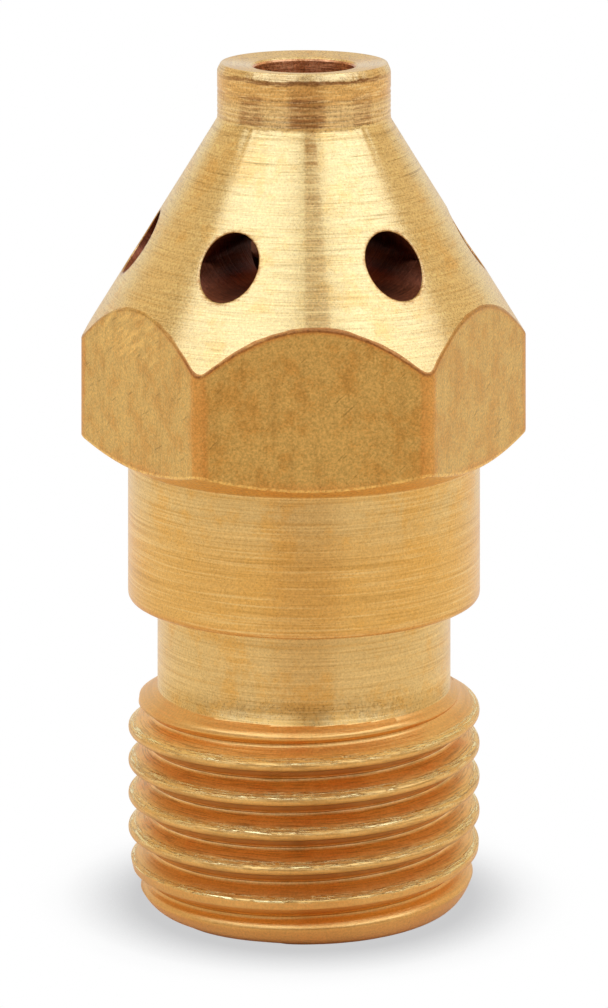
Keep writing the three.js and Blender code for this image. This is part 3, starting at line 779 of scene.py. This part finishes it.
def cone_marks(surface, tone, toned, dashes):
    """A scored line under the hub, a ragged dark streak down the front, which is a painted reflection of
    the dark gap where the camera stands, and orange low down.
    """
    scored = surface.band(surface.z, SCORED_Z, 0.03, 0.05)
    scored = surface.both(scored, surface.ramp(dashes, 0.35, 0.55, 0.0, 0.7))
    tone = surface.mix(scored, tone, shaded(toned, 0.6))
    # Painted reflection of the tent's dark gap where the camera stands: a ragged brown streak, darker
    # higher up.
    ragged = surface.ramp(surface.lines(1.2, 3.0), 0.36, 0.58, 0.2, 1.0)
    stronger_up = surface.ramp(surface.z, *GAP_REFLECTION_Z, 0.6, 1.0)
    streak = surface.both(surface.sector(*CONE_GAP_REFLECTION), ragged, stronger_up)
    tone = surface.mix(streak, tone, GAP_REFLECTION_BROWN)
    scores = surface.both(
        surface.ramp(surface.lines(1.6, 8.0, 2.0), 0.62, 0.68),
        surface.ramp(surface.z, *SCORES_Z, 0.3, 0.8),
    )
    tone = surface.mix(scores, tone, shaded(toned, 0.45))
    low = surface.both(surface.ramp(surface.z, *LOW_CONE_Z), surface.ramp(dashes, 0.40, 0.60, 0.0, 0.5))
    tone = surface.mix(low, tone, toned)
    ragged = surface.math("MULTIPLY", surface.noise(surface.spot, 5.0), 0.3)
    rim = surface.math("ADD", surface.port_gap(), ragged)
    tone = surface.mix(surface.ramp(rim, *PORT_STAIN, 0.0, 0.8), tone, BURR_SHADE_AND_STAIN)
    return surface.mix(chatter(surface), tone, EDGE_ORANGE)


def chatter(surface):
    """Slanting smears where the tool chattered, across the edge of one flat."""
    slanted = surface.math("ADD", surface.z, surface.math("MULTIPLY", surface.y, 0.7))
    slanted = surface.math("MULTIPLY", slanted, 3.5)
    smears = surface.noise(surface.vector(surface.y, 0.0, slanted), 1.0, 4.0, 0.6)
    patch = surface.both(surface.sector(*CHATTER), surface.band(surface.z, CHATTER_Z, 0.6, 0.7))
    return surface.both(patch, surface.ramp(smears, 0.44, 0.60, 0.0, 0.7))


def barrel_marks(surface, tone, toned, dashes):
    """The lower collar is toned, more so towards its edge."""
    collar = surface.ramp(surface.z, COLLAR_BOTTOM - 0.02, COLLAR_BOTTOM + 0.02)
    lower = surface.both(collar, surface.ramp(surface.z, *TONED_COLLAR_Z, 0.0, 0.75))
    tone = surface.mix(lower, tone, toned)
    edge = surface.ramp(surface.z, COLLAR_BOTTOM + 0.4, COLLAR_BOTTOM + 0.05, 0.0, 0.7)
    return surface.mix(surface.both(collar, edge), tone, EDGE_ORANGE)


def drawn_brass(name, bare, toned, roughness):
    """Bar stock as it was drawn: granular, toned in patches, with faint lengthways streaks."""
    surface = Surface(name)
    lengthways = surface.vector(surface.x, surface.y, surface.math("MULTIPLY", surface.z, 0.1))
    streaks = surface.noise(lengthways, 3.0, 5.0, 0.6)
    mottle = surface.noise(surface.spot, 0.8, 6.0, 0.74)
    fibres = surface.noise(surface.spot, 8.0, 4.0, 0.7)
    tone = surface.mix(surface.ramp(mottle, 0.42, 0.62), bare, toned)
    tone = surface.mix(surface.ramp(streaks, 0.50, 0.72, 0.0, 0.35), tone, shaded(toned, 0.72))
    tone = surface.mix(surface.ramp(streaks, 0.42, 0.30, 0.0, 0.30), tone, shaded(bare, 1.2))
    tone = surface.mix(surface.ramp(fibres, 0.52, 0.68, 0.0, 0.40), tone, shaded(toned, 0.66))
    tone = surface.mix(scratches(surface), tone, shaded(toned, 0.45))
    tone = edge_marks(surface, tone, bare, streaks, mottle, fibres)
    # Painted highlight along the edge between the flats and the underside.
    tone = surface.mix(underside_edge_highlight(surface, fibres), tone, shaded(bare, 1.35))
    tone, grain = surface.speckled(tone, 0.22, 0.03)
    rough = surface.ramp(grain, 0.3, 0.7, roughness - 0.04, roughness + 0.10)
    normal = surface.bump(grain, 0.007)
    normal = surface.bump(mottle, 0.02, normal)
    normal = surface.bump(streaks, 0.010, normal)
    return surface.metal(tone, rough, normal)


def edge_marks(surface, tone, bare, streaks, mottle, fibres):
    """Orange corners and foot of the hexagon, and a ragged dark burr along its arcs, where the cone was
    cut away above it. The burr's dark brown is painted shadow under the real burr, strongest on the
    camera's side, and the orange fringe below the arcs is also strongest there."""
    corner = surface.math("ADD", surface.radius, surface.math("MULTIPLY", streaks, 0.4))
    corner = surface.ramp(corner, *CORNER_RADII, 0.0, 0.65)
    foot = surface.ramp(surface.z, HEXAGON_FOOT_Z + 0.4, HEXAGON_FOOT_Z - 0.1, 0.0, 0.5)
    gap = surface.math("SUBTRACT", cone_gap(surface), surface.math("MULTIPLY", fibres, 0.08))
    faded = surface.ramp(surface.sector(*CHATTER), 0.0, 1.0, 1.0, 0.15)
    faded = surface.both(faded, surface.ramp(surface.sector(*STRONGEST_BURR_SHADE), 0.0, 1.0, 0.4, 1.0))
    fringe = surface.both(surface.ramp(gap, HEXAGON_FRINGE, 0.0, 0.0, 0.7), faded)
    glow = surface.math("MAXIMUM", surface.math("MAXIMUM", corner, foot), fringe)
    tone = surface.mix(glow, tone, EDGE_ORANGE)
    tone = surface.mix(chatter(surface), tone, shaded(bare, 1.25))
    # Painted shadow along the burr, strongest on the camera's side.
    burr = surface.both(surface.ramp(gap, 0.03, -0.01), surface.ramp(mottle, 0.36, 0.48, 0.35, 0.9), faded)
    return surface.mix(burr, tone, BURR_SHADE_AND_STAIN)


def underside_edge_highlight(surface, fibres):
    """Painted highlight: a bright line where the flats meet the underside."""
    underside = surface.math("MULTIPLY", surface.radius, UNDERSIDE_SLOPE)
    underside = surface.math("ADD", underside, COLLAR_TOP - COLLAR_R * UNDERSIDE_SLOPE)
    rise = surface.math("SUBTRACT", surface.z, underside)
    return surface.both(surface.band(rise, 0.05, 0.03, 0.06), surface.ramp(fibres, 0.40, 0.55, 0.0, 0.8))


def scratches(surface):
    """A few fine slanting scratches."""
    along = surface.math("MULTIPLY", surface.math("ADD", surface.x, surface.z), 0.45)
    across = surface.math("MULTIPLY", surface.math("SUBTRACT", surface.x, surface.z), 5.0)
    fine = surface.noise(surface.vector(along, surface.y, across), 1.0, 3.0, 0.6)
    return surface.ramp(fine, 0.64, 0.70, 0.0, 0.5)


def cone_gap(surface):
    """How far inside the cone a point is, in millimetres of radius: nought along the hexagon's arcs."""
    drop = surface.math("MULTIPLY", surface.math("SUBTRACT", HUB_FOOT_Z, surface.z), CONE_TAN)
    return surface.math("SUBTRACT", surface.math("ADD", drop, HUB_R), surface.radius)


def full_thread(surface):
    """1 along the full thread, fading to 0 at its lead-in and its upper end."""
    top = surface.ramp(surface.z, *FULL_THREAD_TOP)
    return surface.both(top, surface.ramp(surface.z, *FULL_THREAD_BOTTOM))


def thread_glints(surface, inward, upper):
    """Where glints are painted: torn edges on the upper flanks, just inside the crests."""
    torn = surface.ramp(surface.lines(6.0, 7.0, 3.0), 0.48, 0.57)
    return surface.both(surface.band(inward, 0.16, 0.08, 0.10), upper, torn)


def threaded_brass(name, crest, flank, shade, root, roughness):
    """A cut thread: painted light on the upper flanks towards the crests, with painted glints on their torn
    edges, a painted shade on the crest tips, orange toning, painted shade on the lower flanks and a paler
    painted reflection along the root. inward is about how far a point lies inside the crests, and lean is
    above 0 on the upper flanks and below 0 on the lower ones."""
    surface = Surface(name)
    lean = surface.apart(surface.add("ShaderNodeNewGeometry", output=NORMAL_OUT))[2]
    torn = surface.lines(2.5, 7.0)
    dashes = surface.lines(5.0, 9.0, 3.0)
    inward = surface.math("SUBTRACT", THREAD_R + 0.06, surface.radius)
    inward = surface.math("SUBTRACT", inward, surface.math("MULTIPLY", torn, 0.12))
    full = full_thread(surface)
    ends = surface.math("SUBTRACT", 1.0, full)
    patches = surface.ramp(surface.noise(surface.spot, 0.5, 5.0, 0.6), 0.48, 0.64, 0.0, 0.6)
    tone = surface.mix(patches, flank, THREAD_RED)
    # Painted shade on the lower flanks, darkest just under the crests.
    under = surface.both(surface.ramp(lean, -0.05, -0.45), full)
    shadow = surface.mix(surface.ramp(inward, 0.10, 0.35), shaded(shade, 0.5), shade)
    tone = surface.mix(under, tone, shadow)
    upper = surface.ramp(lean, -0.2, 0.2)
    # Painted light: the upper flanks lighten to the crest colour towards the crests.
    lit_flanks = surface.both(surface.ramp(inward, 0.50, 0.12), upper)
    tone = surface.mix(lit_flanks, tone, crest)
    streaked = surface.ramp(surface.lines(0.5, 5.0), 0.40, 0.62, 0.35, 0.85)
    tone = surface.mix(surface.both(ends, streaked), tone, shaded(flank, 0.8))
    # Painted shade on the crest tips, darkening them below the crest colour.
    tip = surface.both(surface.ramp(inward, 0.12, 0.04, 0.0, 0.8), full)
    tone = surface.mix(tip, tone, TIP_SHADE_GOLD)
    # Painted reflection: a paler line along the root.
    rooted = surface.both(surface.ramp(inward, 0.60, 0.70), surface.band(lean, -0.1, 0.25, 0.3), full)
    tone = surface.mix(surface.both(rooted, surface.ramp(torn, 0.35, 0.55, 0.2, 0.7)), tone, root)
    dark = surface.both(full, surface.ramp(dashes, 0.48, 0.62, 0.0, 0.65))
    tone = surface.mix(dark, tone, shaded(flank, 0.55))
    glints = thread_glints(surface, inward, upper)
    # Painted glints, with lower roughness and a bump on the same spots.
    tone = surface.mix(surface.math("MULTIPLY", glints, 0.9), tone, PAINTED_GLINT)
    tone, grain = surface.speckled(tone, 0.12, 0.02)
    rough = surface.ramp(grain, 0.3, 0.7, roughness - 0.03, roughness + 0.08)
    rough = surface.math("SUBTRACT", rough, surface.math("MULTIPLY", glints, 0.16))
    normal = surface.bump(grain, 0.006)
    normal = surface.bump(torn, 0.015, normal)
    normal = surface.bump(glints, 0.03, normal)
    return surface.metal(tone, rough, normal)


# ---------------------------------------------------------------- plain metal and rubber

RUBBER_BLACK = (0.012, 0.012, 0.013, 1)
RUBBER_GREY = (0.03, 0.03, 0.032, 1)


def plain_metal(name, color, roughness):
    """One colour of metal with faint lines round the axis."""
    surface = Surface(name)
    lines = surface.lines(1.0, 9.0)
    tone = surface.mix(surface.ramp(lines, 0.35, 0.7), color, shaded(color, 0.7))
    grain = surface.noise(surface.spot, 6.0)
    rough = surface.ramp(grain, 0.3, 0.7, roughness - 0.06, roughness + 0.08)
    return surface.metal(tone, rough, surface.bump(lines, 0.006))


def rubber(name):
    """Dull black rubber with a fine grain."""
    surface = Surface(name)
    grain = surface.noise(surface.spot, 12.0, 4.0)
    tone = surface.mix(surface.ramp(grain, 0.3, 0.7), RUBBER_BLACK, RUBBER_GREY)
    inputs = {"Base Color": tone, "Roughness": 0.62, "Normal": surface.bump(grain, 0.01)}
    shader = surface.add("ShaderNodeBsdfPrincipled", inputs)
    surface.add("ShaderNodeOutputMaterial", {0: shader})
    return surface.material


# ---------------------------------------------------------------- studio


def make_camera():
    """A level camera above the nozzle, with its lens shifted down so that uprights stay upright. The
    shift holds at this height alone, so that a camera moved elsewhere aims straight."""
    data = bpy.data.cameras.new("camera")
    camera = bpy.data.objects.new("camera", data)
    bpy.context.scene.collection.objects.link(camera)
    x = math.sin(CAMERA_TURN) * CAMERA_DISTANCE
    y = -math.cos(CAMERA_TURN) * CAMERA_DISTANCE
    camera.location = Vector((x, y, CAMERA_HEIGHT)) * MM
    camera.rotation_euler = (math.pi / 2, 0, CAMERA_TURN)
    data.lens = CAMERA_LENS
    data.clip_start = 0.01
    shift = data.driver_add("shift_y").driver
    spot = shift.variables.new()
    spot.name = "up"
    spot.type = "TRANSFORMS"
    spot.targets[0].id = camera
    spot.targets[0].transform_type = "LOC_Z"
    shift.expression = f"{CAMERA_SHIFT} * (abs(up - {CAMERA_HEIGHT * MM}) < 0.000001)"
    bpy.context.scene.camera = camera


def area_light(name, azimuth, width):
    """A soft panel that faces the nozzle from above. Azimuth 0 is on the camera's side, and grows to
    its right."""
    data = bpy.data.lights.new(name, "AREA")
    data.shape = "RECTANGLE"
    data.size = width
    data.size_y = PANEL_HEIGHT
    data.energy = PANEL_RADIANCE * math.pi * width * PANEL_HEIGHT
    data.color = PANEL_COOL
    light = bpy.data.objects.new(name, data)
    bpy.context.scene.collection.objects.link(light)
    a = math.radians(azimuth) + CAMERA_TURN
    e = PANEL_ELEVATION
    away = Vector((math.sin(a) * math.cos(e), -math.cos(a) * math.cos(e), math.sin(e)))
    light.location = away * PANEL_DISTANCE + Vector(PANEL_AIM)
    light.rotation_euler = away.to_track_quat("Z", "Y").to_euler()


def surroundings(nodes, facing, back, front, gap):
    """Colour of the tent round the nozzle: from back to front, with a darker gap where the camera
    stands."""
    wall = nodes.mix(nodes.ramp(facing, *FRONT_FACING), back, front)
    return nodes.mix(nodes.ramp(facing, *GAP_FACING), wall, gap)


def make_world():
    """The tent that the brass mirrors: pale on top and behind, dark low in front. The camera itself
    sees plain white."""
    world = bpy.data.worlds.new("studio")
    bpy.context.scene.world = world
    world.use_nodes = True
    nodes = Nodes(world.node_tree)
    x, y, z = nodes.apart(nodes.add("ShaderNodeTexCoord", output=GENERATED_OUT))
    facing = nodes.toward(x, y)
    tent = surroundings(nodes, facing, TENT_SIDE, TENT_FRONT, TENT_GAP)
    behind = nodes.ramp(facing, *BACKDROP_FACING)
    backdrop = nodes.math("MULTIPLY", behind, nodes.ramp(z, *BACKDROP_RISE))
    tent = nodes.mix(backdrop, tent, BACKDROP)
    tent = nodes.mix(nodes.ramp(z, *TOP_RISE), tent, TENT_TOP)
    seen = nodes.add("ShaderNodeLightPath", output=CAMERA_RAY_OUT)
    color = nodes.mix(seen, tent, WHITE)
    strength = nodes.ramp(seen, 0.0, 1.0, TENT_POWER, 1.0)
    sky = nodes.add("ShaderNodeBackground", {0: color, 1: strength})
    nodes.add("ShaderNodeOutputWorld", {0: sky})


def make_floor():
    """A pale floor. Its contact shadow is short and soft, and fades to plain white for the camera. For
    other rays its colour holds painted shade, darker towards the camera's side.
    """
    mesh = bpy.data.meshes.new("floor")
    signs = ((-1, -1), (1, -1), (1, 1), (-1, 1))
    corners = [(x * FLOOR_HALF, y * FLOOR_HALF, 0) for x, y in signs]
    mesh.from_pydata(corners, [], [(0, 1, 2, 3)])
    floor = bpy.data.objects.new("floor", mesh)
    bpy.context.scene.collection.objects.link(floor)
    surface = Surface("floor_white")
    # Painted shade on the floor for the brass to mirror: darker towards the camera's side, darkest far out.
    gap = surface.mix(surface.ramp(surface.radius, *FLOOR_GAP_RADII), FLOOR_GAP, FLOOR_FAR_GAP)
    tent = surroundings(surface, surface.toward(surface.x, surface.y), FLOOR_BACK, FLOOR_FRONT, gap)
    paper = surface.add("ShaderNodeBsdfDiffuse", {0: tent})
    inputs = {"Distance": SHADOW_REACH}
    open_air = surface.add("ShaderNodeAmbientOcclusion", inputs, output=OPENNESS_OUT, samples=16)
    shade = surface.mix(surface.ramp(open_air, *SHADOW_OPENNESS), SHADOW, WHITE)
    sheet = surface.add("ShaderNodeEmission", {0: shade, 1: 1.0})
    seen = surface.add("ShaderNodeLightPath", output=CAMERA_RAY_OUT)
    mixed = surface.add("ShaderNodeMixShader", {0: seen, 1: paper, 2: sheet})
    surface.add("ShaderNodeOutputMaterial", {0: mixed})
    mesh.materials.append(surface.material)


# ---------------------------------------------------------------- the scene

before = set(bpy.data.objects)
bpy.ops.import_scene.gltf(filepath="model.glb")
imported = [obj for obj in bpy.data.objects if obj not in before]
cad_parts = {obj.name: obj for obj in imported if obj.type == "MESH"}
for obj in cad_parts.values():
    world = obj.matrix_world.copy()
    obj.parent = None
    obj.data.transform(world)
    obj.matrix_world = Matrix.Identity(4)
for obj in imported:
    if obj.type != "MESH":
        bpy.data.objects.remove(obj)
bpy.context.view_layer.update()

low_corner, high_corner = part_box("nozzle_body")
body_top = high_corner.z / MM
across_flats = (high_corner.y - low_corner.y) / MM

finishes = {
    HUB: turned_brass(
        "hub",
        bare=(0.86, 0.63, 0.28, 1),
        toned=(0.80, 0.49, 0.16, 1),
        toning=0.50,
        line_depth=0.010,
        line_tone=0.6,
        marks=hub_marks,
    ),
    CONE: turned_brass(
        "cone",
        bare=(0.87, 0.65, 0.28, 1),
        toned=(0.85, 0.54, 0.17, 1),
        toning=0.49,
        line_depth=0.008,
        line_tone=0.5,
        marks=cone_marks,
    ),
    BARREL: turned_brass(
        "barrel",
        bare=(0.79, 0.57, 0.23, 1),
        toned=(0.82, 0.48, 0.12, 1),
        toning=0.46,
        line_depth=0.012,
        line_tone=0.5,
        shortness=1.3,
        specks=0.17,
        marks=barrel_marks,
    ),
    DRAWN: drawn_brass("drawn", bare=(0.72, 0.485, 0.15, 1), toned=(0.66, 0.385, 0.10, 1), roughness=0.36),
    THREADED: threaded_brass(
        "threaded",
        # crest colours the painted light on the upper flanks, shade the painted shade on the lower ones and
        # root the painted reflection along the root.
        crest=(0.96, 0.66, 0.22, 1),
        flank=(0.94, 0.55, 0.17, 1),
        shade=(0.62, 0.32, 0.11, 1),
        root=(0.92, 0.72, 0.42, 1),
        roughness=0.33,
    ),
    # The holes' walls are painted nearly black brown: painted shade inside the bore, the ports and the
    # chamber.
    DRILLED_IN_SHADE: turned_brass(
        "drilled",
        bare=(0.29, 0.09, 0.04, 1),
        toned=(0.17, 0.05, 0.022, 1),
        toning=0.40,
        line_depth=0.012,
        line_tone=0.5,
        roughness=0.44,
    ),
    THROAT: turned_brass(
        "throat",
        bare=(0.88, 0.46, 0.22, 1),
        toned=(0.58, 0.25, 0.11, 1),
        toning=0.40,
        line_depth=0.020,
        line_tone=0.7,
    ),
}
body = make_body(body_top, across_flats, [finishes[i] for i in sorted(finishes)])
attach(body, "nozzle")
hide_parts("nozzle_body")

insert_brass = turned_brass(
    "insert_brass",
    bare=(0.80, 0.56, 0.22, 1),
    toned=(0.72, 0.45, 0.15, 1),
    toning=0.50,
    line_depth=0.010,
    line_tone=0.5,
)
hard_steel = plain_metal("hard_steel", (0.62, 0.62, 0.63, 1), 0.28)
spring_steel = plain_metal("spring_steel", (0.5, 0.51, 0.53, 1), 0.34)
screen_bronze = plain_metal("screen_bronze", (0.52, 0.30, 0.11, 1), 0.42)
seal_rubber = rubber("seal_rubber")
INSIDE = {
    "orifice_disc": hard_steel,
    "swirl_distributor": hard_steel,
    "lock_screw": insert_brass,
    "valve_spring": spring_steel,
    "check_poppet": hard_steel,
    "poppet_o_ring": seal_rubber,
    "valve_seat_o_ring": seal_rubber,
    "valve_seat": insert_brass,
    "strainer_cap": insert_brass,
    "strainer_screen": screen_bronze,
    "strainer_base": insert_brass,
    "retaining_ring": spring_steel,
}
for node_name, material in INSIDE.items():
    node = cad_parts[node_name]
    node.data.materials.clear()
    node.data.materials.append(material)

make_floor()
make_world()
area_light("front_left_panel", azimuth=-46, width=0.60)
area_light("front_right_panel", azimuth=59, width=0.55)
make_camera()
bpy.context.scene.view_settings.view_transform = "Standard"
